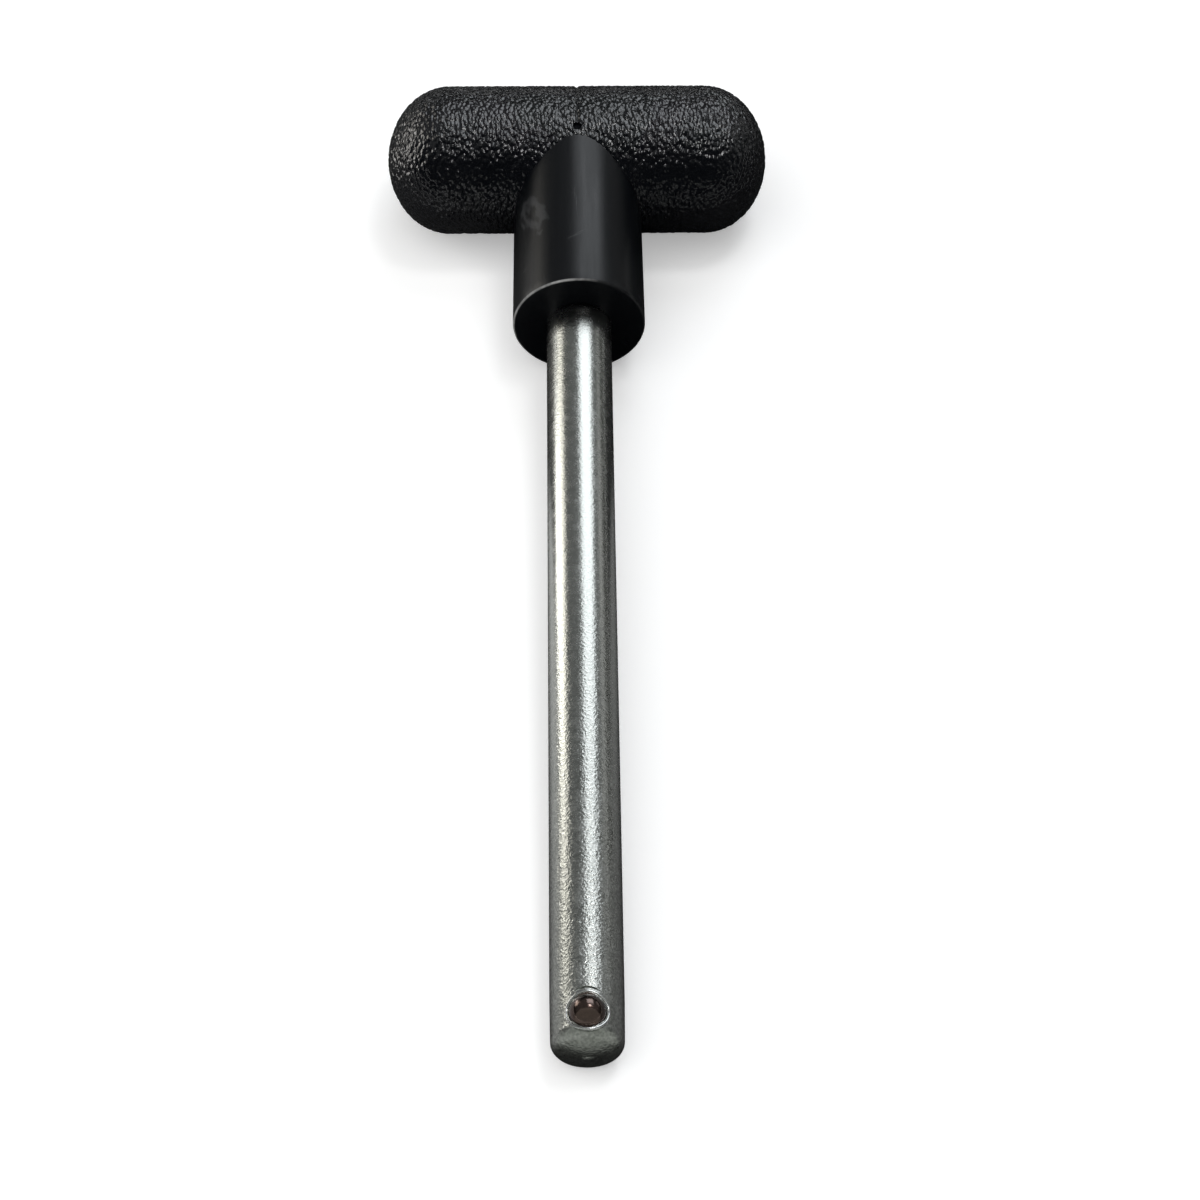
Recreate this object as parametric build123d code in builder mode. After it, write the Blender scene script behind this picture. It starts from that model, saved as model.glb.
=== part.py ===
from build123d import *
import math
import os

os.makedirs("parts", exist_ok=True)

# Weight stack selector pin: a steel shaft with a sprung ball near its tip,
# moulded into a plastic T handle.
# The origin is the centre of the handle's end face. The shaft runs along -Y,
# the crossbar along X, and the ball looks up along +Z.

# Shaft
shaft_d = 10.0
exposed_length = 130.0
nose_d = 9.86
nose_crown_radius = 11.5
nose_corner_radius = 1.7

# Ball detent
ball_d = 5.0
ball_from_tip = 4.2
ball_standing_out = 1.6
bore_clearance = 0.06
lip_bite = 0.05
lip_drop = 0.30
lip_underside_height = 0.25
bevel_d = 5.3
collar_d = 6.2
bore_depth = 7.8

# Ring left in the crown by the staking punch
stake_inner_d = 6.6
stake_outer_d = 7.3
stake_depth = 0.34
stake_floor_width = 0.15
stake_to_nose_start = 0.5

# Detent spring
wire_d = 0.5
coil_mean_d = 3.8
spring_turns = 4.5
wire_sides = 10
seat_gap = 0.02

# Spigot held in the moulded handle
spigot_d = 9.5
spigot_length = 30.0
spigot_end_chamfer = 0.8
groove_d = 8.7
groove_width = 2.0
groove_first = 7.0
groove_pitch = 5.0
groove_count = 3
flats_across = 8.2
flats_length = 6.0

# Handle
hub_face_d = 20.5
hub_root_d = 20.1
rim_radius = 0.35
spot_face_d = 10.6
spot_face_depth = 0.1
bar_length = 61.0
bar_depth = 25.6
bar_thickness = 21.8
bar_from_face = 36.4
bar_end_length = 10.0
gate_d = 1.5
gate_depth = 0.35
gate_from_crest = 3.0

shaft_r = shaft_d / 2
ball_r = ball_d / 2
bore_r = ball_r + bore_clearance
lip_r = ball_r - lip_bite
ball_y = -exposed_length + ball_from_tip
ball_z = shaft_r + ball_standing_out - ball_r
lip_z = shaft_r - lip_drop
bore_floor_z = shaft_r - bore_depth
nose_start_y = ball_y + stake_outer_d / 2 + stake_to_nose_start
nose_r = nose_d / 2
spigot_r = spigot_d / 2
groove_r = groove_d / 2
spigot_end_y = spot_face_depth + spigot_length

# Blunt nose: a round corner that runs into a flatter crown without an edge
corner_centre_r = nose_r - nose_corner_radius
crown_centre_y = -exposed_length + nose_crown_radius
centres_apart = nose_crown_radius - nose_corner_radius
nose_end_y = crown_centre_y - math.sqrt(centres_apart**2 - corner_centre_r**2)
corner_reach = nose_corner_radius / centres_apart
meeting_r = corner_centre_r * (1 + corner_reach)
meeting_y = nose_end_y + (nose_end_y - crown_centre_y) * corner_reach

# Turned shaft outline, from the spigot end to the tip
outline = [(0, spigot_end_y)]
outline.append((spigot_r - spigot_end_chamfer, spigot_end_y))
outline.append((spigot_r, spigot_end_y - spigot_end_chamfer))
for number in reversed(range(groove_count)):
    groove_y = spot_face_depth + groove_first + number * groove_pitch
    outline.append((spigot_r, groove_y + groove_width))
    outline.append((groove_r, groove_y + groove_width))
    outline.append((groove_r, groove_y))
    outline.append((spigot_r, groove_y))
outline.append((spigot_r, spot_face_depth))
outline.append((shaft_r, spot_face_depth))
outline.append((shaft_r, nose_start_y))
outline.append((nose_r, nose_end_y))

with BuildPart() as shaft:
    # Collar of metal raised around the ball by the staking, level with the shaft
    with BuildSketch(Plane.XY) as collar:
        with Locations((0, ball_y)):
            Circle(collar_d / 2)
    extrude(amount=2 * shaft_r)
    with BuildSketch(Plane.XZ.offset(exposed_length)) as collar_top:
        Circle(shaft_r)
    extrude(amount=-exposed_length, mode=Mode.INTERSECT)
    with BuildSketch(Plane.XY) as turned:
        with BuildLine():
            Polyline(*outline)
            corner = TangentArc((nose_r, nose_end_y), (meeting_r, meeting_y), tangent=(0, -1))
            TangentArc(corner @ 1, (0, -exposed_length), tangent=corner % 1)
            Line((0, -exposed_length), (0, spigot_end_y))
        make_face()
    revolve(axis=Axis.Y)
    # Two flats stop the shaft turning in the plastic
    with BuildSketch(Plane.XZ.offset(-spigot_end_y)) as flats:
        with Locations((0, (flats_across + spigot_d) / 2), (0, -(flats_across + spigot_d) / 2)):
            Rectangle(2 * spigot_d, spigot_d)
    extrude(amount=flats_length, mode=Mode.SUBTRACT)
    # Cross bore with its lip closed in over the ball and the bevel above it
    bore_plane = Plane(origin=(0, ball_y, 0), x_dir=(0, 1, 0), z_dir=(1, 0, 0))
    with BuildSketch(bore_plane) as bore:
        with BuildLine():
            Polyline(
                (0, bore_floor_z),
                (bore_r, bore_floor_z),
                (bore_r, lip_z - lip_underside_height),
                (lip_r, lip_z),
                (bevel_d / 2, shaft_r),
                (bevel_d / 2, shaft_r + ball_standing_out),
                (0, shaft_r + ball_standing_out),
                close=True,
            )
        make_face()
    bore_axis = Axis((0, ball_y, 0), (0, 0, 1))
    revolve(axis=bore_axis, mode=Mode.SUBTRACT)
    # Ring bitten into the crown when the lip was staked
    with BuildSketch(bore_plane) as stake:
        with BuildLine():
            Polyline(
                (stake_inner_d / 2, shaft_r - stake_depth),
                (stake_inner_d / 2 + stake_floor_width, shaft_r - stake_depth),
                (stake_outer_d / 2, shaft_r),
                (stake_outer_d / 2, shaft_r + ball_standing_out),
                (stake_inner_d / 2, shaft_r + ball_standing_out),
                close=True,
            )
        make_face()
    revolve(axis=bore_axis, mode=Mode.SUBTRACT)
shaft.part.label = "shaft"
export_step(shaft.part, "parts/shaft.step")

with BuildPart() as detent_ball:
    with Locations((0, ball_y, ball_z)):
        Sphere(ball_r)
detent_ball.part.label = "detent_ball"
export_step(detent_ball.part, "parts/detent_ball.step")

# Spring from the bore floor up to the underside of the ball
coil_r = coil_mean_d / 2
wire_r = wire_d / 2
spring_low_z = bore_floor_z + wire_r + seat_gap
touch_distance = ball_r + wire_r + seat_gap
spring_high_z = ball_z - math.sqrt(touch_distance**2 - coil_r**2)
spring_rise = spring_high_z - spring_low_z

with BuildPart() as detent_spring:
    with BuildLine() as coil:
        Helix(spring_rise / spring_turns, spring_rise, coil_r, center=(0, ball_y, spring_low_z))
    with BuildSketch(Plane(origin=coil.line @ 0, z_dir=coil.line % 0)):
        RegularPolygon(wire_r, wire_sides)
    sweep(path=coil.line, is_frenet=True)
detent_spring.part.label = "detent_spring"
export_step(detent_spring.part, "parts/detent_spring.step")

bar_half = bar_length / 2
bar_r = bar_depth / 2
bar_flat = bar_half - bar_end_length
gate_y = bar_from_face - gate_from_crest
gate_surface_z = bar_thickness / 2 * math.sqrt(1 - (gate_from_crest / bar_r) ** 2)

with BuildPart() as handle:
    # Crossbar: a rounded bar, a little thinner than it is deep
    bar_plane = Plane(origin=(0, bar_from_face, 0))
    with BuildSketch(bar_plane) as bar:
        with BuildLine():
            Line((-bar_half, 0), (bar_half, 0))
            EllipticalCenterArc((bar_flat, 0), bar_end_length, bar_r, start_angle=0, arc_size=90)
            Line((bar_flat, bar_r), (-bar_flat, bar_r))
            EllipticalCenterArc((-bar_flat, 0), bar_end_length, bar_r, start_angle=90, arc_size=90)
        make_face()
    revolve(axis=Axis(bar_plane.origin, bar_plane.x_dir))
    scale(by=(1, 1, bar_thickness / bar_depth))
    # Hub with a little draft, its root inside the crossbar
    with BuildSketch(Plane.XY) as hub:
        with BuildLine():
            Polyline(
                (0, 0),
                (hub_face_d / 2, 0),
                (hub_root_d / 2, bar_from_face),
                (0, bar_from_face),
                close=True,
            )
        make_face()
    revolve(axis=Axis.Y)
    face_rim = handle.edges().filter_by(GeomType.CIRCLE).sort_by(Axis.Y)[0]
    fillet(face_rim, rim_radius)
    with BuildSketch(Plane.XZ) as spot_face:
        Circle(spot_face_d / 2)
    extrude(amount=-spot_face_depth, mode=Mode.SUBTRACT)
    # Moulded around the shaft, so it takes the spigot's own form
    add(shaft.part, mode=Mode.SUBTRACT)
    # Mark left by the moulding gate above the hub
    with BuildSketch(Plane.XY.offset(gate_surface_z - gate_depth)) as gate:
        with Locations((0, gate_y)):
            Circle(gate_d / 2)
    extrude(amount=gate_depth + bar_thickness, mode=Mode.SUBTRACT)
handle.part.label = "handle"
export_step(handle.part, "parts/handle.step")
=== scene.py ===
# %% [markdown]
# # The weight stack pin, dressed
# A gym's weight stack is set with a pin like this one: a plated steel shaft with a sprung
# ball near its tip, held in a black plastic T handle. The solid model gives every piece its
# true size and place. This script adds what a solid model leaves out: the leather grain
# moulded into the crossbar, the mottled zinc on the shaft, the dark polished ball, the
# little marks of moulding and use, and the light that shows them.
#
# The scene is in metres, in the model's own frame: the shaft runs along -Y from the handle's
# end face at the origin, the crossbar lies along X, and the ball looks up along +Z. The sizes
# of the pieces are written in millimetres and multiplied by MM.

import math

import bmesh
import bpy
import numpy as np
from mathutils import Matrix, Vector


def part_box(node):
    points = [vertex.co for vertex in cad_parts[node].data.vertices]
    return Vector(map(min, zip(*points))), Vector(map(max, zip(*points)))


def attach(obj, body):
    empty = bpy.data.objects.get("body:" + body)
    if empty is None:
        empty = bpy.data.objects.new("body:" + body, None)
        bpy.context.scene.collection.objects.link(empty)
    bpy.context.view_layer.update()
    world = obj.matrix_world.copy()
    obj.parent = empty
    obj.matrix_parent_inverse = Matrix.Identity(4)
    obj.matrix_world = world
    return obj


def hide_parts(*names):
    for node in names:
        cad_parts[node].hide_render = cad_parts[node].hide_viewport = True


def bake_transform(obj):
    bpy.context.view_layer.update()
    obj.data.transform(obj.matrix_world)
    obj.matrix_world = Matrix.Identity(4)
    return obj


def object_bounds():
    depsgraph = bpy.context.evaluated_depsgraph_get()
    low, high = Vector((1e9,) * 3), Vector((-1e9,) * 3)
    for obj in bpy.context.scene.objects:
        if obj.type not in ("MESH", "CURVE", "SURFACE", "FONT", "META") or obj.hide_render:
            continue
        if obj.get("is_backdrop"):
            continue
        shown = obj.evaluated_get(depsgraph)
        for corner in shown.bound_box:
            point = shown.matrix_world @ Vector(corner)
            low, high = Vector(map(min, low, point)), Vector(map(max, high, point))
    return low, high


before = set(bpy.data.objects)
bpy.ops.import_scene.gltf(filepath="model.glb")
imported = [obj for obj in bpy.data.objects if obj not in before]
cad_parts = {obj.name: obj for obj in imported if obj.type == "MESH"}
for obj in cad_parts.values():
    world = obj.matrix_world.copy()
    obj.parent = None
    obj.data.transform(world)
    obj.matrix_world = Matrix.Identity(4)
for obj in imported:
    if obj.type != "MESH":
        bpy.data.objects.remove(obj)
solid_low, solid_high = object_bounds()
MM = 0.001
print("nodes:", sorted(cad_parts))
print("solid model spans", [round((b - a) / MM, 2) for a, b in zip(solid_low, solid_high)], "mm")

# %% [markdown]
# ## The camera
# The picture looks down on the pin from about 52 degrees, with the tip nearest. The numbers
# come from a pinhole camera fitted to measured outlines of the shaft, hub and crossbar, so
# that the perspective is right too: the shaft widens by a fifth towards the tip. A camera
# could also be placed by eye, but then the taper and the ellipse of the hub's end face
# would never both fit.

# %% Place the camera
ELEVATION = math.radians(51.944)
AZIMUTH = math.radians(-1.233)
ROLL = math.radians(0.641)
CAMERA_DISTANCE = 480.03 * MM
CAMERA_AIM = Vector((2.573, -54.092, 0.0)) * MM
FOCAL_PX = 3312.3
PICTURE_PX = 1200
SENSOR_MM = 36.0

toward_camera = Vector(
    (
        math.sin(AZIMUTH) * math.cos(ELEVATION),
        -math.cos(AZIMUTH) * math.cos(ELEVATION),
        math.sin(ELEVATION),
    )
)
level_right = (-toward_camera).cross(Vector((0, 0, 1))).normalized()
level_up = level_right.cross(-toward_camera)
camera_right = level_right * math.cos(ROLL) + level_up * math.sin(ROLL)
camera_up = -level_right * math.sin(ROLL) + level_up * math.cos(ROLL)

camera_data = bpy.data.cameras.new("camera")
camera_data.sensor_width = SENSOR_MM
camera_data.lens = FOCAL_PX * SENSOR_MM / PICTURE_PX
camera_data.clip_start = 0.01
camera_data.clip_end = 50.0
camera = bpy.data.objects.new("camera", camera_data)
bpy.context.scene.collection.objects.link(camera)
turn = Matrix((camera_right, camera_up, toward_camera)).transposed()
camera.matrix_world = (
    Matrix.Translation(CAMERA_AIM + toward_camera * CAMERA_DISTANCE) @ turn.to_4x4()
)
bpy.context.scene.camera = camera
bpy.context.scene.view_settings.view_transform = "Standard"
print("lens", round(camera_data.lens, 1), "mm")

# %% [markdown]
# ## The floor
# Left alone on a table, the pin lies on the rim of its hub and the edge of its tip, with the
# ball looking up. The hub is the fatter end, so the shaft slopes a little. The model's frame
# follows the shaft, so the floor is the thing that slopes here: one flat sheet through the
# two lowest lines. It could be level with the pin turned instead, but the solid model is
# never moved.

# %% Lay the floor under the two resting points
HUB_REST = Vector((0.0, 0.35, -10.25)) * MM
TIP_REST = Vector((0.0, -127.77, -4.929)) * MM
FLOOR_REACH = 3.0
ALONG_FLOOR = (HUB_REST - TIP_REST).normalized()
FLOOR_UP = Vector((1, 0, 0)).cross(ALONG_FLOOR).normalized()
floor_middle = (HUB_REST + TIP_REST) / 2


def on_floor(across, along, above=0.0):
    """A point on the floor, by its distance across and along the shaft from the middle."""
    return floor_middle + Vector((across, 0, 0)) + ALONG_FLOOR * along + FLOOR_UP * above


def flat_sheet(name, left, right, front, back, above=0.0):
    """A flat sheet that lies on the floor."""
    corners = [(left, front), (right, front), (right, back), (left, back)]
    sheet_mesh = bpy.data.meshes.new(name)
    sheet_mesh.from_pydata([on_floor(a, b, above) for a, b in corners], [], [(0, 1, 2, 3)])
    sheet_mesh.update()
    made = bpy.data.objects.new(name, sheet_mesh)
    bpy.context.scene.collection.objects.link(made)
    made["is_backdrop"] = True
    return made


floor = flat_sheet("floor", -FLOOR_REACH, FLOOR_REACH, -FLOOR_REACH, FLOOR_REACH)
print("floor slopes", round(math.degrees(math.asin(-ALONG_FLOOR.z)), 2), "degrees")

# %% [markdown]
# ## Small tools for materials
# Each material is a Principled shader with a few nodes in front of it. Nodes can be added and
# joined by hand in the editor, but in a script that takes a line per wire. These helpers
# shorten it: whatever feeds a socket, a plain value or another socket, is named where the
# node is made.


# %% Helpers for nodes
def new_material(name):
    """A material with a Principled shader, as (material, tree, shader)."""
    made = bpy.data.materials.get(name) or bpy.data.materials.new(name)
    made.use_nodes = True
    tree = made.node_tree
    shader = next(n for n in tree.nodes if n.type == "BSDF_PRINCIPLED")
    return made, tree, shader


def feed(tree, target, given):
    """Joins an output socket to an input, or sets the input to a plain value."""
    if isinstance(given, bpy.types.NodeSocket):
        tree.links.new(given, target)
    else:
        target.default_value = given


def add_node(tree, kind, settings=None, inputs=None):
    """A node of that kind, with its settings and what feeds its inputs."""
    made = tree.nodes.new(kind)
    for key, value in (settings or {}).items():
        setattr(made, key, value)
    for key, given in (inputs or {}).items():
        feed(tree, made.inputs[key], given)
    return made


def object_place(tree):
    """The place on the piece, in metres."""
    return add_node(tree, "ShaderNodeTexCoord").outputs["Object"]


def axes_of(tree, place):
    """The X, Y and Z of a place, as sockets by name."""
    return add_node(tree, "ShaderNodeSeparateXYZ", None, {0: place}).outputs


def arithmetic(tree, operation, *given):
    """Arithmetic on sockets and plain numbers, as an output socket."""
    made = add_node(tree, "ShaderNodeMath", {"operation": operation}, dict(enumerate(given)))
    return made.outputs[0]


def ranged(tree, source, start, end, low=0.0, high=1.0, soft=False):
    """Maps a value that goes from start to end onto low to high, straight or softly."""
    settings = {"interpolation_type": "SMOOTHSTEP" if soft else "LINEAR"}
    ends = {"Value": source, "From Min": start, "From Max": end, "To Min": low, "To Max": high}
    return add_node(tree, "ShaderNodeMapRange", settings, ends).outputs["Result"]


def mix_colours(tree, share, first, second, blend="MIX"):
    """Two colours mixed by a share, as an output socket."""
    settings = {"data_type": "RGBA", "blend_type": blend}
    return add_node(tree, "ShaderNodeMix", settings, {0: share, 6: first, 7: second}).outputs[2]


def add_bump(tree, shader, height, strength, distance):
    """Fine relief on a shader, from a height."""
    inputs = {"Height": height, "Strength": strength, "Distance": distance}
    made = add_node(tree, "ShaderNodeBump", None, inputs)
    feed(tree, shader.inputs["Normal"], made.outputs["Normal"])


def new_group(name, inputs, outputs):
    """An empty node group with named sockets, as (group, its input node, its output node)."""
    made = bpy.data.node_groups.new(name, "ShaderNodeTree")
    for label, kind, value in inputs:
        socket = made.interface.new_socket(label, in_out="INPUT", socket_type=kind)
        if value is not None:
            socket.default_value = value
    for label, kind in outputs:
        made.interface.new_socket(label, in_out="OUTPUT", socket_type=kind)
    return made, made.nodes.new("NodeGroupInput"), made.nodes.new("NodeGroupOutput")


def use_group(tree, group, inputs):
    """Places a node group in a material, with its own values."""
    made = tree.nodes.new("ShaderNodeGroup")
    made.node_tree = group
    for label, given in inputs.items():
        feed(tree, made.inputs[label], given)
    return made


# %% [markdown]
# ## Fine surface noise
# No real surface has one roughness all over. Handling, plating and moulding all leave soft
# patches that are a little duller or shinier. One group makes that unevenness for every
# material: it takes a place on the piece and a size in metres, and gives a value between two
# ends, and a mask. Two sizes of noise are mixed, because one alone looks like a pattern.

# %% The unevenness group
FLOAT, VECTOR = "NodeSocketFloat", "NodeSocketVector"
TIMES_SMALLER = 5.3
SMALLER_SHARE = 0.35
uneven_group, group_in, group_out = new_group(
    "Unevenness",
    [
        ("Place", VECTOR, None),
        ("Patch size", FLOAT, 0.004),
        ("Lowest", FLOAT, 0.3),
        ("Highest", FLOAT, 0.4),
    ],
    [("Value", FLOAT), ("Mask", FLOAT)],
)
given_place = group_in.outputs["Place"]
broad_scale = arithmetic(uneven_group, "DIVIDE", 1.0, group_in.outputs["Patch size"])
small_scale = arithmetic(uneven_group, "MULTIPLY", broad_scale, TIMES_SMALLER)
broad = add_node(
    uneven_group,
    "ShaderNodeTexNoise",
    None,
    {"Vector": given_place, "Scale": broad_scale, "Detail": 3.0, "Roughness": 0.6},
)
small = add_node(
    uneven_group,
    "ShaderNodeTexNoise",
    None,
    {"Vector": given_place, "Scale": small_scale, "Detail": 2.0, "Roughness": 0.5},
)
both = arithmetic(uneven_group, "MULTIPLY_ADD", small.outputs["Fac"], SMALLER_SHARE, broad.outputs["Fac"])
mask = ranged(uneven_group, both, 0.45, 0.95)
value = ranged(uneven_group, mask, 0.0, 1.0, group_in.outputs["Lowest"], group_in.outputs["Highest"])
feed(uneven_group, group_out.inputs["Value"], value)
feed(uneven_group, group_out.inputs["Mask"], mask)


def uneven(tree, place, patch_size, lowest, highest):
    """Soft patches on a piece, as a value from lowest to highest and as a mask."""
    inputs = {"Place": place, "Patch size": patch_size, "Lowest": lowest, "Highest": highest}
    made = use_group(tree, uneven_group, inputs)
    return made.outputs["Value"], made.outputs["Mask"]


print("group", uneven_group.name, "ready")

# %% [markdown]
# ## The handle's form
# The real handle is one moulding: a rounded crossbar with a leather grain etched into its
# mould, and a smooth hub that runs into it. Where the smooth hub meets the grained bar there
# is a sharp pointed arch. The grain has to be real relief, because it catches the light in
# short bright dashes and breaks the outline's shine. A bump texture could fake it from one
# side, but an exported shape would be bare.
#
# So the crossbar is built as a fine net of points, each pushed in by the grain, and the hub
# is turned from its outline. The two are then merged into one skin, and the shaft and the
# moulding gate's little pit are cut out of it. The sizes are the solid model's own, apart
# from the pit's depth: it is cut deeper here, so that it shows as dark as the real mark.

# %% The handle's sizes
HALF_BAR = 30.5
BAR_DEPTH_R = 12.8
BAR_THICK_R = 10.9
BAR_END = 10.0
BAR_Y = 36.4
HUB_FACE_R = 10.25
HUB_ROOT_R = 10.05
RIM_R = 0.35
SPOT_R = 5.3
SPOT_DEPTH = 0.1
GATE_R = 0.75
GATE_DEPTH = 0.60
GATE_Y = 33.4
GATE_BLANK_R = 1.15
FLATTEN = BAR_THICK_R / BAR_DEPTH_R
handle_low, handle_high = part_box("handle")
print("handle node spans", [round((b - a) / MM, 2) for a, b in zip(handle_low, handle_high)], "mm")

# %% [markdown]
# ### Leather grain
# Leather grain is a field of small pillows with narrow creases between them. Cellular noise
# gives just that: scatter points in space, and at any place take how much further the second
# nearest point is than the nearest. In a crease both are as far, so the difference is zero,
# and it rises towards the middle of a pillow. The pillows are longer round the bar than
# along it, which turns each one's shine into a short upright dash. The grain is worked out
# in numbers here, not in a shader, because it moves the skin itself. The places are first
# bent by two waves, a slow one and a quicker one, so that the pillows differ in shape as they
# do on real hide.

# %% Grain heights from cellular noise
GRAIN_SIZE = np.array((0.66, 1.05, 1.05))
GRAIN_DEPTH = 0.20
CREASE_WIDTH = 0.42
GRAIN_SEED = 11
# Each wave: height in mm, pace per mm, start, and the axes that it takes its places from
BENDING_WAVES = ((0.22, 2.1, 0.7, (1, 2, 0)), (0.10, 5.3, 1.9, (2, 0, 1)))


def scatter(cells, seed):
    """A repeatable random offset in each cell of a grid, between 0 and 1 on each axis."""
    mixed = cells[..., 0] * 73856093 ^ cells[..., 1] * 19349663 ^ cells[..., 2] * 83492791
    mixed = (mixed + seed * 2654435761) & 0xFFFFFFFF
    found = []
    for _ in range(3):
        mixed = (mixed * 1664525 + 1013904223) & 0xFFFFFFFF
        shuffled = mixed ^ (mixed >> 15)
        shuffled = (shuffled * 2246822519) & 0xFFFFFFFF
        shuffled = shuffled ^ (shuffled >> 13)
        found.append(shuffled / 0xFFFFFFFF)
    return np.stack(found, axis=-1)


def grain_height(points):
    """1 on top of a pillow and 0 in a crease, for points in millimetres."""
    bent = points
    for height, pace, start, axes in BENDING_WAVES:
        bent = bent + height * np.sin(points[:, axes] * pace + start)
    scaled = bent / GRAIN_SIZE
    home = np.floor(scaled).astype(np.int64)
    nearest = np.full(len(points), 9.0)
    second = np.full(len(points), 9.0)
    for dx in (-1, 0, 1):
        for dy in (-1, 0, 1):
            for dz in (-1, 0, 1):
                cell = home + np.array((dx, dy, dz))
                seed_point = cell + scatter(cell, GRAIN_SEED)
                away = np.linalg.norm(scaled - seed_point, axis=1)
                second = np.minimum(second, np.maximum(nearest, away))
                nearest = np.minimum(nearest, away)
    rise = np.clip((second - nearest) / CREASE_WIDTH, 0.0, 1.0)
    pillow = rise * rise * (3 - 2 * rise)
    dome = np.clip(1.0 - nearest * nearest, 0.0, 1.0)
    return 0.5 * pillow + 0.5 * dome


# %% [markdown]
# ### The crossbar's net
# The bar's outline is straight in the middle and a quarter ellipse at each end. It is swung
# round the bar's own axis and then pressed a little flatter. Points are spread evenly along
# the outline, so that the net is as fine on the ends as in the middle and a pillow of grain
# gets three or four points each way. The grain only ever goes inward from the mould's
# surface, so the bar keeps its size.

# %% Build the grained crossbar
BAR_RINGS = 350
BAR_SEGMENTS = 250
KNIT_DEPTH = 0.34
KNIT_HALF_WIDTH = 0.50
GATE_FADE = 0.5


def ring_faces(rings, sides, closed=False):
    """Faces that join each ring of points to the next, and the last to the first if closed."""
    faces = []
    for ring in range(rings if closed else rings - 1):
        here, there = ring * sides, (ring + 1) % rings * sides
        for side in range(sides):
            n = (side + 1) % sides
            faces.append((here + side, here + n, there + n, there + side))
    return faces


def bar_outline(count):
    """Even points along the bar's half outline, as x, radius and the outline's normal."""
    angle = np.linspace(0, math.pi / 2, 400)
    end_x, end_r = BAR_END * np.sin(angle), BAR_DEPTH_R * np.cos(angle)
    flat = HALF_BAR - BAR_END
    right_x, right_r = flat + end_x, end_r
    straight_x = np.linspace(-flat, flat, 400)[1:-1]
    xs = np.concatenate([-right_x[::-1], straight_x, right_x])
    rs = np.concatenate([right_r[::-1], np.full(len(straight_x), BAR_DEPTH_R), right_r])
    run = np.concatenate([[0], np.cumsum(np.hypot(np.diff(xs), np.diff(rs)))])
    even = np.linspace(0, run[-1], count)
    x, r = np.interp(even, run, xs), np.interp(even, run, rs)
    beyond = np.clip(np.abs(x) - flat, 0, None) * np.sign(x)
    normal_x = beyond / BAR_END**2
    normal_r = np.maximum(r, 1e-9) / BAR_DEPTH_R**2
    size = np.hypot(normal_x, normal_r)
    return x, r, normal_x / size, normal_r / size


def build_crossbar():
    """The crossbar as a closed grained skin, in metres."""
    x, r, normal_x, normal_r = bar_outline(BAR_RINGS + 1)
    x, r, normal_x, normal_r = x[1:-1], r[1:-1], normal_x[1:-1], normal_r[1:-1]
    turn_angle = np.arange(BAR_SEGMENTS) * 2 * math.pi / BAR_SEGMENTS
    cos, sin = np.cos(turn_angle), np.sin(turn_angle)
    points = np.stack(
        [
            np.repeat(x, BAR_SEGMENTS),
            BAR_Y + np.outer(r, cos).ravel(),
            np.outer(r, sin).ravel() * FLATTEN,
        ],
        axis=1,
    )
    normals = np.stack(
        [
            np.repeat(normal_x, BAR_SEGMENTS),
            np.outer(normal_r, cos).ravel(),
            np.outer(normal_r, sin).ravel() / FLATTEN,
        ],
        axis=1,
    )
    normals /= np.linalg.norm(normals, axis=1)[:, None]
    depth = GRAIN_DEPTH * (1 - grain_height(points))
    # The mould is polished round the gate, so the grain fades there
    from_gate = np.hypot(points[:, 0], points[:, 1] - GATE_Y)
    near_gate = np.clip((GATE_BLANK_R - from_gate) / GATE_FADE, 0, 1)
    polished = np.where(points[:, 2] > 0, near_gate, 0)
    depth = depth * (1 - polished) + GRAIN_DEPTH * polished
    # The knit line, where the plastic met itself behind the gate, leaves a fine groove
    from_knit = np.abs(points[:, 0])
    behind_gate = (points[:, 1] > GATE_Y) & (points[:, 2] > 0)
    knit = np.where(behind_gate, np.clip(1 - from_knit / KNIT_HALF_WIDTH, 0, 1), 0)
    depth = depth * (1 - knit) + KNIT_DEPTH * knit
    points = points - normals * depth[:, None]
    ends = np.array([[-HALF_BAR, BAR_Y, 0.0], [HALF_BAR, BAR_Y, 0.0]])
    points = np.concatenate([points, ends]) * MM
    faces = ring_faces(len(x), BAR_SEGMENTS)
    first_end, last_end = len(points) - 2, len(points) - 1
    last = (len(x) - 1) * BAR_SEGMENTS
    for k in range(BAR_SEGMENTS):
        n = (k + 1) % BAR_SEGMENTS
        faces.append((k, first_end, n))
        faces.append((last + k, last + n, last_end))
    return points, faces


def mesh_object(name, points, faces):
    """A mesh object with its normals pointing out."""
    made_mesh = bpy.data.meshes.new(name)
    made_mesh.from_pydata([tuple(p) for p in points], [], faces)
    made_mesh.update()
    work = bmesh.new()
    work.from_mesh(made_mesh)
    bmesh.ops.recalc_face_normals(work, faces=work.faces[:])
    work.to_mesh(made_mesh)
    work.free()
    made = bpy.data.objects.new(name, made_mesh)
    bpy.context.scene.collection.objects.link(made)
    return made


bar_points, bar_faces = build_crossbar()
handle_piece = mesh_object("handle_moulding", bar_points, bar_faces)
print("crossbar net", len(bar_points), "points,", len(bar_faces), "faces")

# %% [markdown]
# ### The hub
# The hub is a short cone with almost no taper, just the draft that lets it leave its mould,
# with a small round on its rim and a shallow turned seat where the shaft comes out. It is a
# turned form, so its outline is swung round the shaft's axis.


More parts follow.
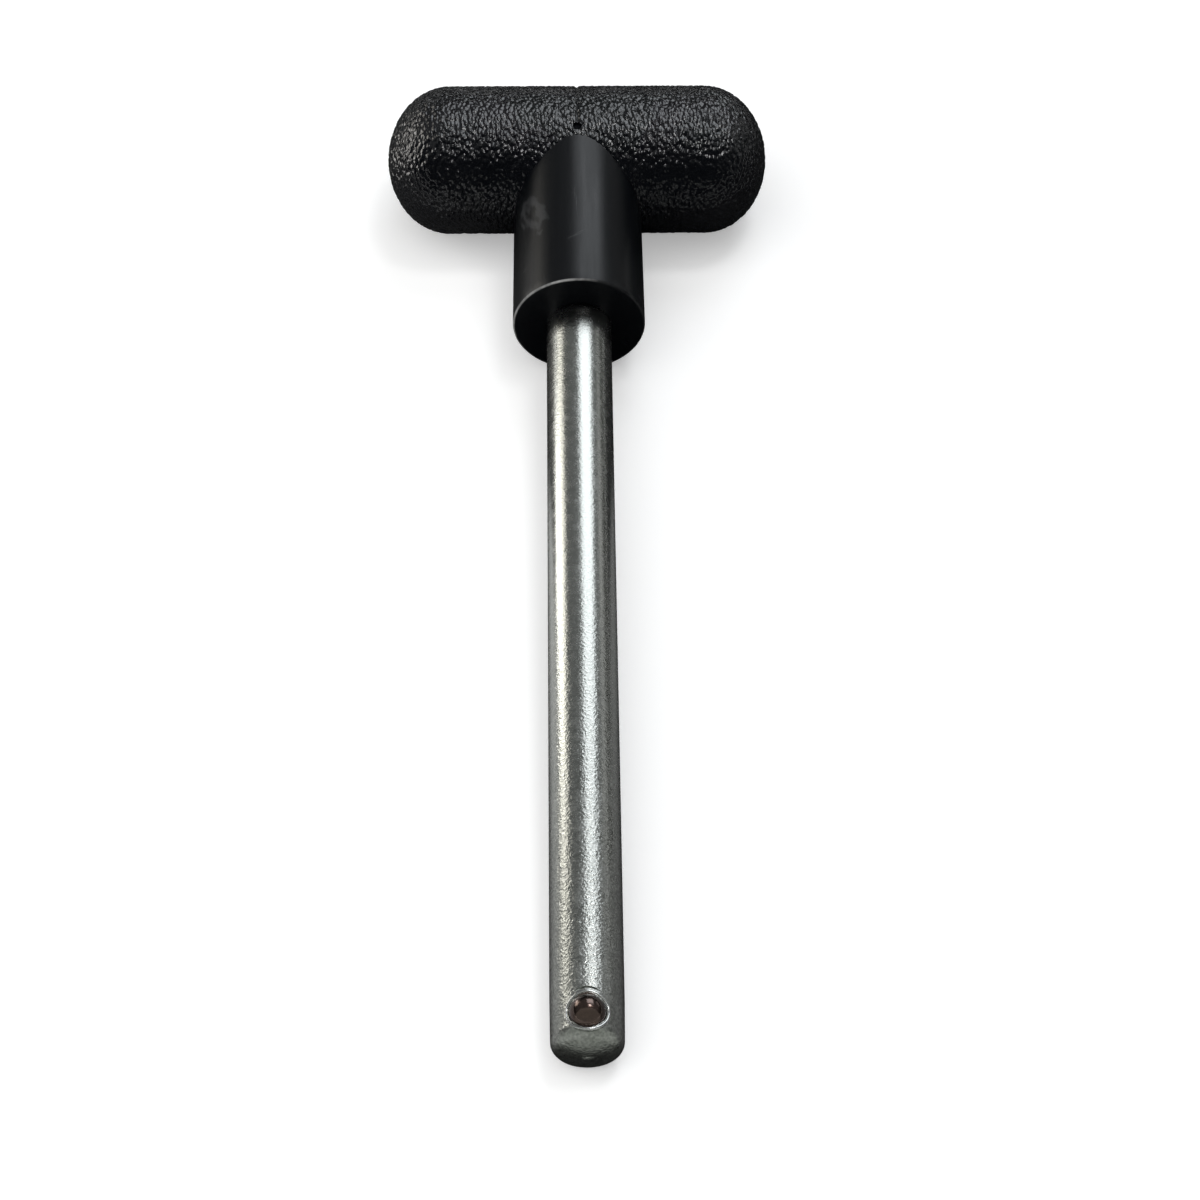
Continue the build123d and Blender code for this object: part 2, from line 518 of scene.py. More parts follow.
# %% Turn the hub
def turned(name, outline, segments):
    """A closed skin swung round Y from an outline of (radius, y) that starts and ends on it."""
    inner = outline[1:-1]
    points, faces = [], []
    for radius, y in inner:
        for k in range(segments):
            angle = 2 * math.pi * k / segments
            points.append((radius * math.cos(angle) * MM, y * MM, radius * math.sin(angle) * MM))
    first_end, last_end = len(points), len(points) + 1
    points.append((0.0, outline[0][1] * MM, 0.0))
    points.append((0.0, outline[-1][1] * MM, 0.0))
    last = (len(inner) - 1) * segments
    for k in range(segments):
        n = (k + 1) % segments
        faces.append((first_end, k, n))
        faces.append((last_end, last + n, last + k))
        for ring in range(len(inner) - 1):
            here, there = ring * segments, (ring + 1) * segments
            faces.append((here + k, there + k, there + n, here + n))
    return mesh_object(name, points, faces)


HUB_SEGMENTS = 160
RIM_STEPS = 6
HUB_SIDE_STEPS = 24
hub_outline = [(0.0, SPOT_DEPTH), (SPOT_R, SPOT_DEPTH), (SPOT_R, 0.0)]
for step in range(RIM_STEPS + 1):
    angle = math.pi / 2 * step / RIM_STEPS
    round_r = HUB_FACE_R - RIM_R + RIM_R * math.sin(angle)
    hub_outline.append((round_r, RIM_R - RIM_R * math.cos(angle)))
for step in range(1, HUB_SIDE_STEPS + 1):
    share = step / HUB_SIDE_STEPS
    side_y = RIM_R + (BAR_Y - RIM_R) * share
    side_r = HUB_FACE_R + (HUB_ROOT_R - HUB_FACE_R) * side_y / BAR_Y
    hub_outline.append((side_r, side_y))
hub_outline.append((0.0, BAR_Y))
hub_tool = turned("hub_tool", hub_outline, HUB_SEGMENTS)
print("hub outline has", len(hub_outline), "points")

# %% [markdown]
# ### The cutters, and one skin
# The plastic is moulded round the shaft's grooved end, so the cavity in the handle is cut
# with the shaft's own shape, copied from the solid model. The gate's pit is a short rod
# sunk into the crest. Blender's boolean modifier does the merging; its manifold solver is
# quick and exact on closed skins like these.

# %% Merge hub and bar, cut the cavity and the pit
GATE_SEGMENTS = 32
GATE_TAPER = 0.95
GATE_ABOVE = 1.0
FINISHES = ("handle_grain", "handle_smooth", "handle_scar")


def copy_of_node(name, node):
    """A closed copy of a solid's mesh, to cut with."""
    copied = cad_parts[node].data.copy()
    work = bmesh.new()
    work.from_mesh(copied)
    bmesh.ops.remove_doubles(work, verts=work.verts[:], dist=1e-7)
    bmesh.ops.recalc_face_normals(work, faces=work.faces[:])
    work.to_mesh(copied)
    work.free()
    made = bpy.data.objects.new(name, copied)
    bpy.context.scene.collection.objects.link(made)
    return made


def gate_cutter():
    """The rod that sinks the gate's pit into the crest of the bar."""
    crest = BAR_THICK_R * math.sqrt(1 - ((BAR_Y - GATE_Y) / BAR_DEPTH_R) ** 2)
    points = []
    for z, radius in ((crest - GATE_DEPTH, GATE_R * GATE_TAPER), (crest + GATE_ABOVE, GATE_R)):
        for k in range(GATE_SEGMENTS):
            angle = 2 * math.pi * k / GATE_SEGMENTS
            place = (radius * math.cos(angle), GATE_Y + radius * math.sin(angle), z)
            points.append(tuple(c * MM for c in place))
    faces = ring_faces(2, GATE_SEGMENTS)
    faces.append(tuple(range(GATE_SEGMENTS)))
    faces.append(tuple(range(GATE_SEGMENTS, 2 * GATE_SEGMENTS)))
    made = mesh_object("gate_tool", points, faces)
    for label in FINISHES:
        made.data.materials.append(bpy.data.materials[label])
    for face in made.data.polygons:
        face.material_index = FINISHES.index("handle_scar")
    return made


def apply_boolean(target, tool, operation):
    """Merges or cuts the target with a tool, and deletes the tool."""
    step_modifier = target.modifiers.new(operation, "BOOLEAN")
    step_modifier.operation = operation
    step_modifier.object = tool
    step_modifier.solver = "MANIFOLD"
    settled = target.evaluated_get(bpy.context.evaluated_depsgraph_get())
    merged = bpy.data.meshes.new_from_object(settled)
    target.modifiers.clear()
    target.data = merged
    bpy.data.objects.remove(tool)


for index, piece_part in enumerate((handle_piece, hub_tool)):
    for label in FINISHES:
        shared = bpy.data.materials.get(label) or bpy.data.materials.new(label)
        piece_part.data.materials.append(shared)
    piece_part.data.polygons.foreach_set(
        "material_index", np.full(len(piece_part.data.polygons), index, np.int32)
    )
apply_boolean(handle_piece, hub_tool, "UNION")
print("after the union", len(handle_piece.data.polygons), "faces")
shaft_tool = copy_of_node("shaft_tool", "shaft")
shaft_tool.data.materials.clear()
apply_boolean(handle_piece, shaft_tool, "DIFFERENCE")
print("after the cavity", len(handle_piece.data.polygons), "faces")
apply_boolean(handle_piece, gate_cutter(), "DIFFERENCE")
print("after the pit", len(handle_piece.data.polygons), "faces")
handle_piece.data.name = "handle_moulding"

# %% [markdown]
# ### Soft and sharp edges
# The skin is shaded smooth, except where the real one has an edge: along the pointed arch
# between grain and smooth plastic, at the seat, and round the pit. The arch is found by its
# two finishes, since it meets at a shallow angle at its tip.

# %% Mark the sharp edges
SHARP_ANGLE = math.radians(50)
finishing = bmesh.new()
finishing.from_mesh(handle_piece.data)
for face in finishing.faces:
    face.smooth = True
sharp_count = 0
for edge in finishing.edges:
    if len(edge.link_faces) != 2:
        continue
    one, other = edge.link_faces
    if one.material_index != other.material_index or edge.calc_face_angle(0.0) > SHARP_ANGLE:
        edge.smooth = False
        sharp_count += 1
finishing.to_mesh(handle_piece.data)
finishing.free()
handle_piece.data.update()
print("sharp edges:", sharp_count)

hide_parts("handle")
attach(handle_piece, "pin")

# %% [markdown]
# ## Black moulded plastic
# All the handle's finishes are the same black plastic. The grained one has patches that are a
# little duller, because the etched mould leaves a fine tooth on every pillow, and dust and
# polish gather unevenly. A finer hide is laid over the built grain as relief in the shader:
# it is too small for the net of points. The gate's pit is a finish of its own, dull and torn
# where the runner broke off.

# %% The grained finish
PLASTIC_BLACK = (0.0018, 0.0023, 0.0034, 1.0)
PLASTIC_DUSTY = (0.0038, 0.0043, 0.0056, 1.0)
TOOTH_SHARE = 0.12
_, grain_tree, grain_shader = new_material("handle_grain")
grain_shader.inputs["Specular IOR Level"].default_value = 0.80
grain_shader.inputs["IOR"].default_value = 1.54
grain_place = object_place(grain_tree)
grain_dull, grain_mask = uneven(grain_tree, grain_place, 0.006, 0.15, 0.22)
feed(grain_tree, grain_shader.inputs["Roughness"], grain_dull)
grain_tone = mix_colours(grain_tree, grain_mask, PLASTIC_BLACK, PLASTIC_DUSTY)
feed(grain_tree, grain_shader.inputs["Base Color"], grain_tone)
long_place = add_node(
    grain_tree, "ShaderNodeMapping", None, {"Vector": grain_place, "Scale": (1.0, 0.62, 0.62)}
)
hide = add_node(
    grain_tree,
    "ShaderNodeTexVoronoi",
    None,
    {"Vector": long_place.outputs["Vector"], "Scale": 1700.0, "Randomness": 1.0},
)
tooth = add_node(
    grain_tree, "ShaderNodeTexNoise", None, {"Vector": grain_place, "Scale": 4200.0, "Detail": 2.0}
)
tooth_low = arithmetic(grain_tree, "MULTIPLY", tooth.outputs["Fac"], TOOTH_SHARE)
hide_up = arithmetic(grain_tree, "MULTIPLY_ADD", hide.outputs["Distance"], -1.0, tooth_low)
add_bump(grain_tree, grain_shader, hide_up, 0.9, 0.00024)
print("grained finish ready")

# %% The broken gate
_, scar_tree, scar_shader = new_material("handle_scar")
scar_shader.inputs["Base Color"].default_value = PLASTIC_BLACK
scar_shader.inputs["Specular IOR Level"].default_value = 0.10
scar_dull, scar_mask = uneven(scar_tree, object_place(scar_tree), 0.0006, 0.55, 0.80)
feed(scar_tree, scar_shader.inputs["Roughness"], scar_dull)
add_bump(scar_tree, scar_shader, scar_mask, 0.8, 0.0001)
print("gate scar ready")

# %% [markdown]
# ## The smooth hub
# The hub is satin, with faint lengthwise streaks from the mould and a few pale scuffs where
# it has knocked against the plates. Each scuff is placed one by one: a soft blot, or a hollow
# ring of it, whose edge is torn by noise so that it doesn't look drawn. Noise alone could
# make such marks too, but then nobody decides where they fall.

# %% The smooth finish
_, smooth_tree, smooth_shader = new_material("handle_smooth")
smooth_shader.inputs["Specular IOR Level"].default_value = 0.38
smooth_place = object_place(smooth_tree)
streak_place = add_node(
    smooth_tree, "ShaderNodeMapping", None, {"Vector": smooth_place, "Scale": (1.0, 0.06, 1.0)}
)
smooth_dull, _ = uneven(smooth_tree, streak_place.outputs["Vector"], 0.0016, 0.27, 0.42)
feed(smooth_tree, smooth_shader.inputs["Roughness"], smooth_dull)
print("smooth finish ready")

# %% The scuff group
scuff_group, scuff_in, scuff_out = new_group(
    "Scuff",
    [
        ("Place", VECTOR, None),
        ("Centre", VECTOR, (0.0, 0.0, 0.0)),
        ("Turn", VECTOR, (0.0, 0.0, 0.0)),
        ("Size", VECTOR, (0.001, 0.001, 0.001)),
        ("Hollow", FLOAT, 0.0),
    ],
    [("Mask", FLOAT)],
)
scuff_frame = add_node(
    scuff_group,
    "ShaderNodeMapping",
    {"vector_type": "TEXTURE"},
    {
        "Vector": scuff_in.outputs["Place"],
        "Location": scuff_in.outputs["Centre"],
        "Rotation": scuff_in.outputs["Turn"],
        "Scale": scuff_in.outputs["Size"],
    },
)
in_scuff = scuff_frame.outputs["Vector"]
tearing = add_node(
    scuff_group, "ShaderNodeTexNoise", None, {"Vector": in_scuff, "Scale": 2.2, "Detail": 5.0}
)
torn_place = add_node(
    scuff_group,
    "ShaderNodeVectorMath",
    {"operation": "MULTIPLY_ADD"},
    {0: tearing.outputs["Color"], 1: (1.6, 1.6, 1.6), 2: in_scuff},
)
from_centre = add_node(
    scuff_group,
    "ShaderNodeVectorMath",
    {"operation": "DISTANCE"},
    {0: torn_place.outputs[0], 1: (0.8, 0.8, 0.8)},
)
past_ring = arithmetic(
    scuff_group, "SUBTRACT", from_centre.outputs["Value"], scuff_in.outputs["Hollow"]
)
from_ring = arithmetic(scuff_group, "ABSOLUTE", past_ring)
soft_ring = ranged(scuff_group, from_ring, 0.75, 0.0, -0.55, 0.45, soft=True)
torn_ring = add_node(
    scuff_group,
    "ShaderNodeMath",
    {"operation": "ADD", "use_clamp": True},
    {0: soft_ring, 1: tearing.outputs["Fac"]},
)
feed(scuff_group, scuff_out.inputs["Mask"], ranged(scuff_group, torn_ring.outputs[0], 0.45, 0.95))
print("group", scuff_group.name, "ready")

# %% Scuff the hub
SCUFF_PALE = (0.028, 0.029, 0.031, 1.0)
# Each scuff: centre in mm, turn in degrees, half sizes in mm, and how hollow it is
SCUFFS = [
    ((-7.2, 17.3, 7.2), 24, (2.1, 5.6, 3.2), 0.65),
    ((-5.9, 12.0, 8.4), 10, (1.3, 2.2, 1.8), 0.0),
    ((-0.4, 9.6, 10.2), -58, (0.7, 5.2, 1.6), 0.0),
    ((-8.3, 6.1, 6.0), -50, (0.6, 2.6, 1.6), 0.0),
    ((-0.3, 17.0, 10.1), 3, (0.5, 7.0, 1.0), 0.0),
    ((9.4, 2.0, 4.0), 70, (0.6, 2.2, 1.5), 0.0),
]
scuffed = None
for centre, degrees, size, hollow in SCUFFS:
    one_scuff = use_group(
        smooth_tree,
        scuff_group,
        {
            "Place": smooth_place,
            "Centre": tuple(c * MM for c in centre),
            "Turn": (0.0, 0.0, math.radians(degrees)),
            "Size": tuple(c * MM for c in size),
            "Hollow": hollow,
        },
    )
    if scuffed is None:
        scuffed = one_scuff.outputs["Mask"]
    else:
        scuffed = arithmetic(smooth_tree, "MAXIMUM", scuffed, one_scuff.outputs["Mask"])
scuffed_tone = mix_colours(smooth_tree, scuffed, PLASTIC_BLACK, SCUFF_PALE)
print(len(SCUFFS), "scuffs placed")

# %% [markdown]
# ## A painted highlight on the rim
# The round of the hub's end face shows a thin light line where the lamps catch it, mostly on
# one side, and here more and there less. That line is painted into the colour as a pale
# band. The rim is a band of the same skin, so it needs no cut of its own: masks by place
# find it, a short way behind the face, off the face itself and far enough out.

# %% Paint the rim's highlight
# Painted highlight: this pale colour stands in for the light line that the lamps draw on the rim's round
RIM_HIGHLIGHT_PALE = (0.46, 0.46, 0.45, 1.0)
RIM_FULL_BY = 0.18
RIM_OFF_FACE = 0.05
RIM_FROM_R, RIM_FULL_R = 9.6, 9.9
smooth_axes = axes_of(smooth_tree, smooth_place)
across_shaft = add_node(
    smooth_tree, "ShaderNodeVectorMath", {"operation": "MULTIPLY"}, {0: smooth_place, 1: (1, 0, 1)}
)
from_shaft = add_node(
    smooth_tree, "ShaderNodeVectorMath", {"operation": "LENGTH"}, {0: across_shaft.outputs[0]}
)
highlight_painted = ranged(smooth_tree, smooth_axes["Y"], RIM_R * MM, RIM_FULL_BY * MM)
# The painted highlight is full on the left side and faint on the right, where the light line fades
lit_side = ranged(smooth_tree, smooth_axes["X"], 0.003, -0.001, 0.06)
off_face = ranged(smooth_tree, smooth_axes["Y"], 0.0, RIM_OFF_FACE * MM)
far_out = ranged(smooth_tree, from_shaft.outputs["Value"], RIM_FROM_R * MM, RIM_FULL_R * MM)
here_and_there, _ = uneven(smooth_tree, smooth_place, 0.0045, 0.10, 1.0)
for rim_mask in (lit_side, off_face, far_out, here_and_there):
    highlight_painted = arithmetic(smooth_tree, "MULTIPLY", highlight_painted, rim_mask)
smooth_tone = mix_colours(smooth_tree, highlight_painted, scuffed_tone, RIM_HIGHLIGHT_PALE)
feed(smooth_tree, smooth_shader.inputs["Base Color"], smooth_tone)
print("rim rubbed")

# %% [markdown]
# ## Zinc plate on the shaft
# The shaft is bright zinc over steel. Bought new it is mirror-like with a fine mottle, called
# spangle, that breaks up every reflection into grains a few tenths of a millimetre across.
# Sliding in and out of the stack wears it near the tip, where the mottle is strongest. The
# solid's own mesh is right, so it keeps its node and only gets this material: cellular noise
# for the grains' tilt, soft noise for duller patches and for lighter and darker grains, and
# masks that grow towards the tip.

# %% The zinc's tone and dullness
ZINC_DARK = (0.50, 0.515, 0.485, 1.0)
ZINC_LIGHT = (0.63, 0.640, 0.615, 1.0)
zinc_material, zinc_tree, zinc_shader = new_material("zinc_plate")
zinc_shader.inputs["Metallic"].default_value = 1.0
zinc_place = object_place(zinc_tree)
along_shaft = axes_of(zinc_tree, zinc_place)["Y"]
zinc_dull, zinc_mask = uneven(zinc_tree, zinc_place, 0.0016, 0.20, 0.32)
worn = ranged(zinc_tree, along_shaft, -0.085, -0.122, 0.0, 0.065)
feed(zinc_tree, zinc_shader.inputs["Roughness"], arithmetic(zinc_tree, "ADD", zinc_dull, worn))
ripple = add_node(
    zinc_tree, "ShaderNodeTexNoise", None, {"Vector": zinc_place, "Scale": 2400.0, "Detail": 1.0}
)
speck = ranged(zinc_tree, ripple.outputs["Fac"], 0.36, 0.62, 0.66, 1.06)
speck_share = ranged(zinc_tree, along_shaft, -0.040, -0.105, 0.1, 0.75)
zinc_tone = mix_colours(zinc_tree, zinc_mask, ZINC_DARK, ZINC_LIGHT)
specked_tone = mix_colours(zinc_tree, speck_share, zinc_tone, speck, "MULTIPLY")
feed(zinc_tree, zinc_shader.inputs["Base Color"], specked_tone)
print("zinc tone ready")


# %% The zinc's spangle
def dress_node(node, material):
    """Gives a solid's own node a finished material."""
    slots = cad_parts[node].data.materials
    slots.clear()
    slots.append(material)
    print(material.name, "on", node)


SPANGLE_SHARE = 0.3
spangle = add_node(
    zinc_tree,
    "ShaderNodeTexVoronoi",
    {"feature": "SMOOTH_F1"},
    {"Vector": zinc_place, "Scale": 3300.0, "Smoothness": 0.4},
)
relief = arithmetic(
    zinc_tree, "MULTIPLY_ADD", spangle.outputs["Distance"], SPANGLE_SHARE, ripple.outputs["Fac"]
)
toward_tip = ranged(zinc_tree, along_shaft, -0.050, -0.112, 0.7, 2.5)
add_bump(zinc_tree, zinc_shader, arithmetic(zinc_tree, "MULTIPLY", relief, toward_tip), 0.5, 0.00006)
dress_node("shaft", zinc_material)

# %% [markdown]
# ## The detent ball
# The ball is a hard bearing ball with a dark oiled oxide skin, a little browner in patches,
# and polished, so the lamps show in it as small sharp points. A sphere needs no new mesh, so
# it keeps its node. The oil is a thin clear coat over the metal.

# %% The ball's skin
BALL_DARK = (0.092, 0.064, 0.055, 1.0)
BALL_BROWN = (0.170, 0.110, 0.090, 1.0)
ball_material, ball_tree, ball_shader = new_material("dark_polished_ball")
ball_shader.inputs["Metallic"].default_value = 1.0
ball_shader.inputs["Coat Weight"].default_value = 0.7
ball_shader.inputs["Coat Roughness"].default_value = 0.08
ball_dull, ball_mask = uneven(ball_tree, object_place(ball_tree), 0.0012, 0.17, 0.25)
feed(ball_tree, ball_shader.inputs["Roughness"], ball_dull)
ball_tone = mix_colours(ball_tree, ball_mask, BALL_DARK, BALL_BROWN)
feed(ball_tree, ball_shader.inputs["Base Color"], ball_tone)
dress_node("detent_ball", ball_material)

# %% [markdown]
# ## The spring under the ball
# The spring is plain drawn wire. A real one has its end turns closed, so that it stands
# square on the bore's floor and the ball has a whole ring to sit on. It also has to shorten
# when the ball is pressed. So it is swept here as a new skin, with open turns only in the
# middle.

# %% Sweep the wire
COIL_R = 1.9
WIRE_R = 0.25
WIRE_SIDES = 12
COIL_STEPS = 180
COIL_TURNS = 4.5
CLOSED_PITCH = 0.58
BALL_Y = -125.8
spring_low, spring_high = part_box("detent_spring")
foot_z = spring_low.z / MM + WIRE_R
head_z = spring_high.z / MM - WIRE_R
spring_points = []
for step in range(COIL_STEPS + 1):
    turns = COIL_TURNS * step / COIL_STEPS
    coil_z = np.interp(
        turns,
        [0, 1, COIL_TURNS - 1, COIL_TURNS],
        [foot_z, foot_z + CLOSED_PITCH, head_z - CLOSED_PITCH, head_z],
    )
    angle = 2 * math.pi * turns
    for side in range(WIRE_SIDES):
        around = 2 * math.pi * side / WIRE_SIDES
        radius = COIL_R + WIRE_R * math.cos(around)
        height = coil_z + WIRE_R * math.sin(around)
        place = (radius * math.cos(angle), BALL_Y + radius * math.sin(angle), height)
        spring_points.append(tuple(c * MM for c in place))
spring_faces = ring_faces(COIL_STEPS + 1, WIRE_SIDES)
spring_faces.append(tuple(range(WIRE_SIDES)))
spring_faces.append(tuple(range(COIL_STEPS * WIRE_SIDES, (COIL_STEPS + 1) * WIRE_SIDES)))
spring_piece = mesh_object("spring_wire", spring_points, spring_faces)
for face in spring_piece.data.polygons:
    face.use_smooth = len(face.vertices) == 4
print("spring from", round(foot_z, 2), "to", round(head_z, 2), "mm")

# %% Dress the spring
wire_material, wire_tree, wire_shader = new_material("drawn_spring_wire")
wire_shader.inputs["Metallic"].default_value = 1.0
wire_shader.inputs["Base Color"].default_value = (0.45, 0.44, 0.42, 1.0)
wire_dull, _ = uneven(wire_tree, object_place(wire_tree), 0.0008, 0.25, 0.40)
feed(wire_tree, wire_shader.inputs["Roughness"], wire_dull)
spring_piece.data.materials.append(wire_material)
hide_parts("detent_spring")
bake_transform(spring_piece)

# %% [markdown]
# ## The rolled lip around the ball
# The punch that stakes the ball leaves the metal at the mouth of the bore rolled over and
# burnished. Its round edge catches a lamp from every side, which draws the white crescent
# around the ball. The solid has the lip as turned faces that meet in sharp edges. Rounding
# those would do the same, but a solid is never changed here. So a small bead is laid over
# them, along the shaft's own curve, and its upper half is what shows.

# %% Roll the lip
SHAFT_R = 5.0
LIP_R = 2.86
LIP_HALF_WIDTH = 0.19
LIP_RISE = 0.12
LIP_STEPS = 144
LIP_SIDES = 14
lip_points = []
for step in range(LIP_STEPS):
    angle = 2 * math.pi * step / LIP_STEPS
    x, y = LIP_R * math.sin(angle), LIP_R * math.cos(angle)
    z = math.sqrt(SHAFT_R**2 - x**2)
    outward = Vector((math.sin(angle), math.cos(angle), -x / z * math.sin(angle))).normalized()
    upright = (Vector((0, 0, 1)) - outward.z * outward).normalized()
    for side in range(LIP_SIDES):
        around = 2 * math.pi * side / LIP_SIDES
        place = Vector((x, BALL_Y + y, z))
        place += outward * LIP_HALF_WIDTH * math.cos(around)
        place += upright * LIP_RISE * math.sin(around)
        lip_points.append(tuple(place * MM))
lip_faces = ring_faces(LIP_STEPS, LIP_SIDES, closed=True)
lip_piece = mesh_object("rolled_lip", lip_points, lip_faces)
for face in lip_piece.data.polygons:
    face.use_smooth = True
print("lip rolled,", len(lip_faces), "faces")

# %% Burnish the lip
lip_material, lip_tree, lip_shader = new_material("burnished_lip")
lip_shader.inputs["Metallic"].default_value = 1.0
lip_shader.inputs["Base Color"].default_value = (0.74, 0.75, 0.74, 1.0)
lip_dull, _ = uneven(lip_tree, object_place(lip_tree), 0.0006, 0.14, 0.34)
feed(lip_tree, lip_shader.inputs["Roughness"], lip_dull)
lip_piece.data.materials.append(lip_material)
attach(lip_piece, "pin")
print("the lip rides on the pin")

# %% [markdown]
# ## The floor's white
# The floor is pale and keeps the pin's soft shadow. To the camera, and in reflections, it
# also glows a little, so that its lit part comes out white without more light on the pin.
# Far from the pin the lamps' light falls off, so there the glow rises to full white.

# %% The floor material
FLOOR_GLOW = 0.34
WHITE_FROM, WHITE_AT = 0.30, 1.10
floor_material, floor_tree, floor_shader = new_material("pale_floor")
floor_shader.inputs["Base Color"].default_value = (0.86, 0.86, 0.86, 1.0)
floor_shader.inputs["Roughness"].default_value = 0.9
floor_shader.inputs["Specular IOR Level"].default_value = 0.1
floor_shader.inputs["Emission Strength"].default_value = 1.0
ray = add_node(floor_tree, "ShaderNodeLightPath").outputs
seen = arithmetic(floor_tree, "MAXIMUM", ray["Is Camera Ray"], ray["Is Glossy Ray"])
seen = arithmetic(floor_tree, "MAXIMUM", seen, ray["Is Transmission Ray"])
floor_far = add_node(
    floor_tree, "ShaderNodeVectorMath", {"operation": "LENGTH"}, {0: object_place(floor_tree)}
)
whiter = ranged(
    floor_tree, floor_far.outputs["Value"], WHITE_FROM, WHITE_AT, FLOOR_GLOW, 1.0, soft=True
)
glow = arithmetic(floor_tree, "MULTIPLY", seen, whiter)
feed(floor_tree, floor_shader.inputs["Emission Color"], glow)
floor.data.materials.append(floor_material)
print("floor ready")

# %% [markdown]
# ## The dark card
# A bright metal rod on a white table mirrors the table along both its sides and loses its
# outline. Product photographers lay dark card beside it, and the white is cut in later: the
# picture's dark edges come from that. Here the card lies just above the floor and only
# reflections see it, so the floor still shows white, takes the shadow and gives its bounce.
# Its tone changes along and across, because the picture's edges do.

# %% Lay the dark card
CARD_HALF_WIDTH = 0.40
CARD_FRONT = 0.60
CARD_BACK = 0.35
CARD_ABOVE = 0.02 * MM
card = flat_sheet("dark_card", -CARD_HALF_WIDTH, CARD_HALF_WIDTH, -CARD_FRONT, CARD_BACK, CARD_ABOVE)
card.visible_camera = False
card.visible_diffuse = False
card.visible_shadow = False
card_material, card_tree, card_shader = new_material("dark_card")
card_axes = axes_of(card_tree, object_place(card_tree))
left_tone = ranged(card_tree, card_axes["X"], -0.006, -0.018, 0.03, 0.48, soft=True)
right_tone = ranged(card_tree, card_axes["X"], 0.006, 0.018, 0.0, 0.16, soft=True)
along_tone = ranged(card_tree, card_axes["Y"], -0.105, -0.045, 0.80, 1.3, soft=True)
front_tone = ranged(card_tree, card_axes["Y"], -0.136, -0.130, 0.35, 1.0, soft=True)
back_tone = ranged(card_tree, card_axes["Y"], -0.032, -0.014, 1.0, 0.12, soft=True)
card_tone = arithmetic(card_tree, "ADD", left_tone, right_tone)
for edge_tone in (along_tone, front_tone, back_tone):
    card_tone = arithmetic(card_tree, "MULTIPLY", card_tone, edge_tone)
feed(card_tree, card_shader.inputs["Base Color"], card_tone)
card_shader.inputs["Roughness"].default_value = 0.9
card_shader.inputs["Specular IOR Level"].default_value = 0.1
card.data.materials.append(card_material)
print("dark card laid")

# %% [markdown]
# ## Studio light
# Polished metal shows the studio more than itself. The picture's shaft carries two bright
# bands with dark between them: a wide cool one a little right of the middle and a narrow
# warm one near the left edge. Turning those bands back through the reflection says where
# the lamps stood. A wide soft box hangs high behind the handle, and lights the band from the
# hub to past the middle. Towards the tip the band gets narrow and weak, so there a slim dim
# box takes over. A lower, warmer box out to the left makes the left band. The small strong
# one overhead is the ball's white point and the sparkle of the grain, and a faint long one
# on the right gives the ball its third glint. A tiny one at the left end lights the bar's
# cap, and one close in front of the tip lightens the round of the nose. That one is seen in
# reflections only. The fill is kept out of them: it evens the floor. The room itself is a
# plain dim grey, which is what the dark bands show, and darker in front, where the crossbar's
# lower half looks.

# %% Hang the lamps
LAMP_DISTANCE = 0.80
LAMP_AIM = Vector((0.0, -45.0, 0.0)) * MM
LEFT_SLANT, RIGHT_SLANT = (0.617, 0.756, 0), (-0.617, 0.756, 0)


def soft_box(name, direction, long_axis, width, length, watts, colour, place=None):
    """A rectangular lamp that shines from a direction, from a place in mm if one is given."""
    away = Vector(direction).normalized()
    length_axis = (Vector(long_axis) - Vector(long_axis).dot(away) * away).normalized()
    width_axis = length_axis.cross(away)
    lamp = bpy.data.lights.new(name, "AREA")
    lamp.shape = "RECTANGLE"
    lamp.size = width
    lamp.size_y = length
    lamp.energy = watts
    lamp.color = colour
    made = bpy.data.objects.new(name, lamp)
    stand = LAMP_AIM + away * LAMP_DISTANCE if place is None else Vector(place) * MM
    turned_to = Matrix((width_axis, length_axis, away)).transposed().to_4x4()
    made.matrix_world = Matrix.Translation(stand) @ turned_to
    bpy.context.scene.collection.objects.link(made)
    return made


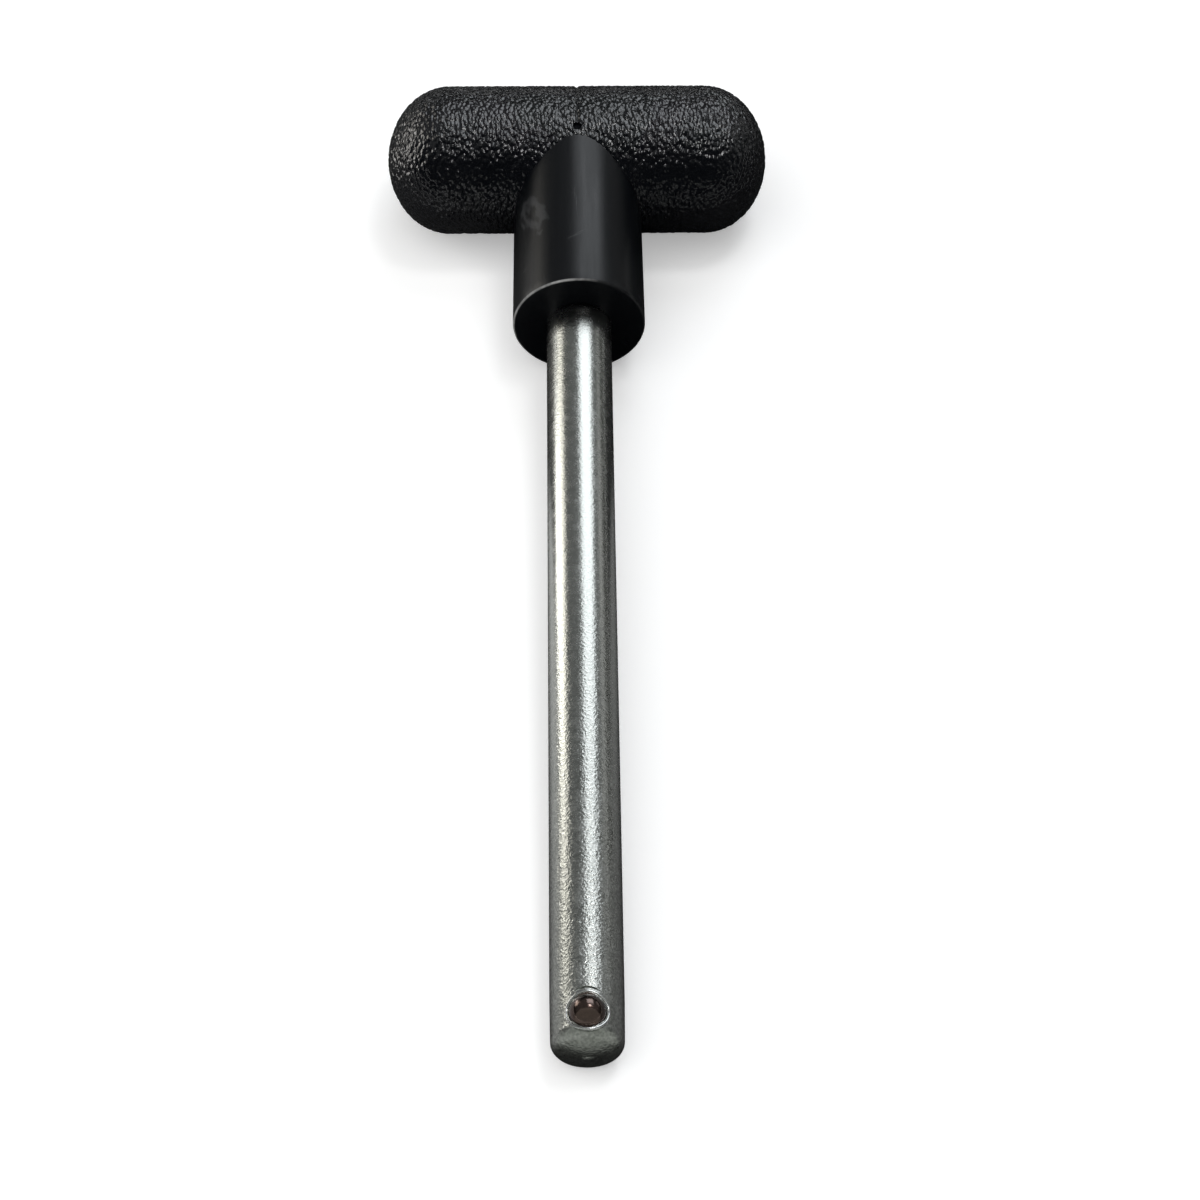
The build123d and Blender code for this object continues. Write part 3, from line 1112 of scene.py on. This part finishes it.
soft_box("rear_box", (0.225, 0.70, 0.645), (0, 1, 0), 0.43, 0.46, 1.32, (0.91, 0.955, 1.0))
soft_box("front_box", (0.46, 0.400, 0.808), (0, 1, 0), 0.12, 0.24, 0.055, (0.88, 0.94, 1.0))
soft_box("spark_box", (0.25, 0.215, 0.940), (0, 1, 0), 0.17, 0.15, 0.72, (1.0, 1.0, 1.0))
soft_box("left_box", (-0.775, 0.550, 0.262), LEFT_SLANT, 0.25, 0.30, 0.56, (1.0, 0.96, 0.88))
soft_box(
    "end_box",
    (-0.930, 0.340, 0.060),
    (0, 0, 1),
    0.055,
    0.055,
    0.034,
    (1.0, 0.98, 0.94),
    place=(-170.0, 86.0, 14.0),
)
soft_box("right_box", (0.76, 0.50, 0.30), RIGHT_SLANT, 0.16, 0.36, 0.09, (1.0, 1.0, 1.0))
nose_box = soft_box(
    "nose_box",
    (0, -0.977, 0.2125),
    (0, 0, 1),
    0.066,
    0.0494,
    0.0031,
    (0.95, 1.0, 0.93),
    place=(0.0, -131.25, 19.85),
)
nose_box.visible_camera = False
nose_box.visible_diffuse = False
fill_box = soft_box("fill_box", (-0.25, -0.35, 0.90), (1, 0, 0), 1.20, 1.60, 8.0, (1.0, 1.0, 1.0))
fill_box.visible_glossy = False

# %% Dim the room
ROOM_LOW = (0.040, 0.042, 0.038, 1.0)
ROOM_HIGH = (0.150, 0.155, 0.155, 1.0)
ROOM_FRONT = (0.010, 0.010, 0.010, 1.0)
world = bpy.data.worlds.new("dim_room")
world.use_nodes = True
world_tree = world.node_tree
world_shader = next(n for n in world_tree.nodes if n.type == "BACKGROUND")
toward_room = add_node(world_tree, "ShaderNodeTexCoord").outputs["Generated"]
room_axes = axes_of(world_tree, toward_room)
rising = ranged(world_tree, room_axes["Z"], 0.15, 0.55, soft=True)
behind = ranged(world_tree, room_axes["Y"], -0.40, 0.10, soft=True)
rising_behind = arithmetic(world_tree, "MULTIPLY", rising, behind)
room_tone = mix_colours(world_tree, rising_behind, ROOM_LOW, ROOM_HIGH)
room_tone = mix_colours(world_tree, behind, ROOM_FRONT, room_tone)
feed(world_tree, world_shader.inputs["Color"], room_tone)
world_shader.inputs["Strength"].default_value = 1.0
bpy.context.scene.world = world
print("room", world.name, "ready")

# %% [markdown]
# ## The dressed box
# The dressed pin's box is set against the solid model's, and how far it grows on each axis
# is printed. The dressed pin has to stay inside the solid model's box.

# %% Print how far the dressed box grows
dressed_low, dressed_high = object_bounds()
growth = [(a - b) / MM for a, b in zip(dressed_high, solid_high)]
print("dressed box grows by", [round(g, 3) for g in growth], "mm")
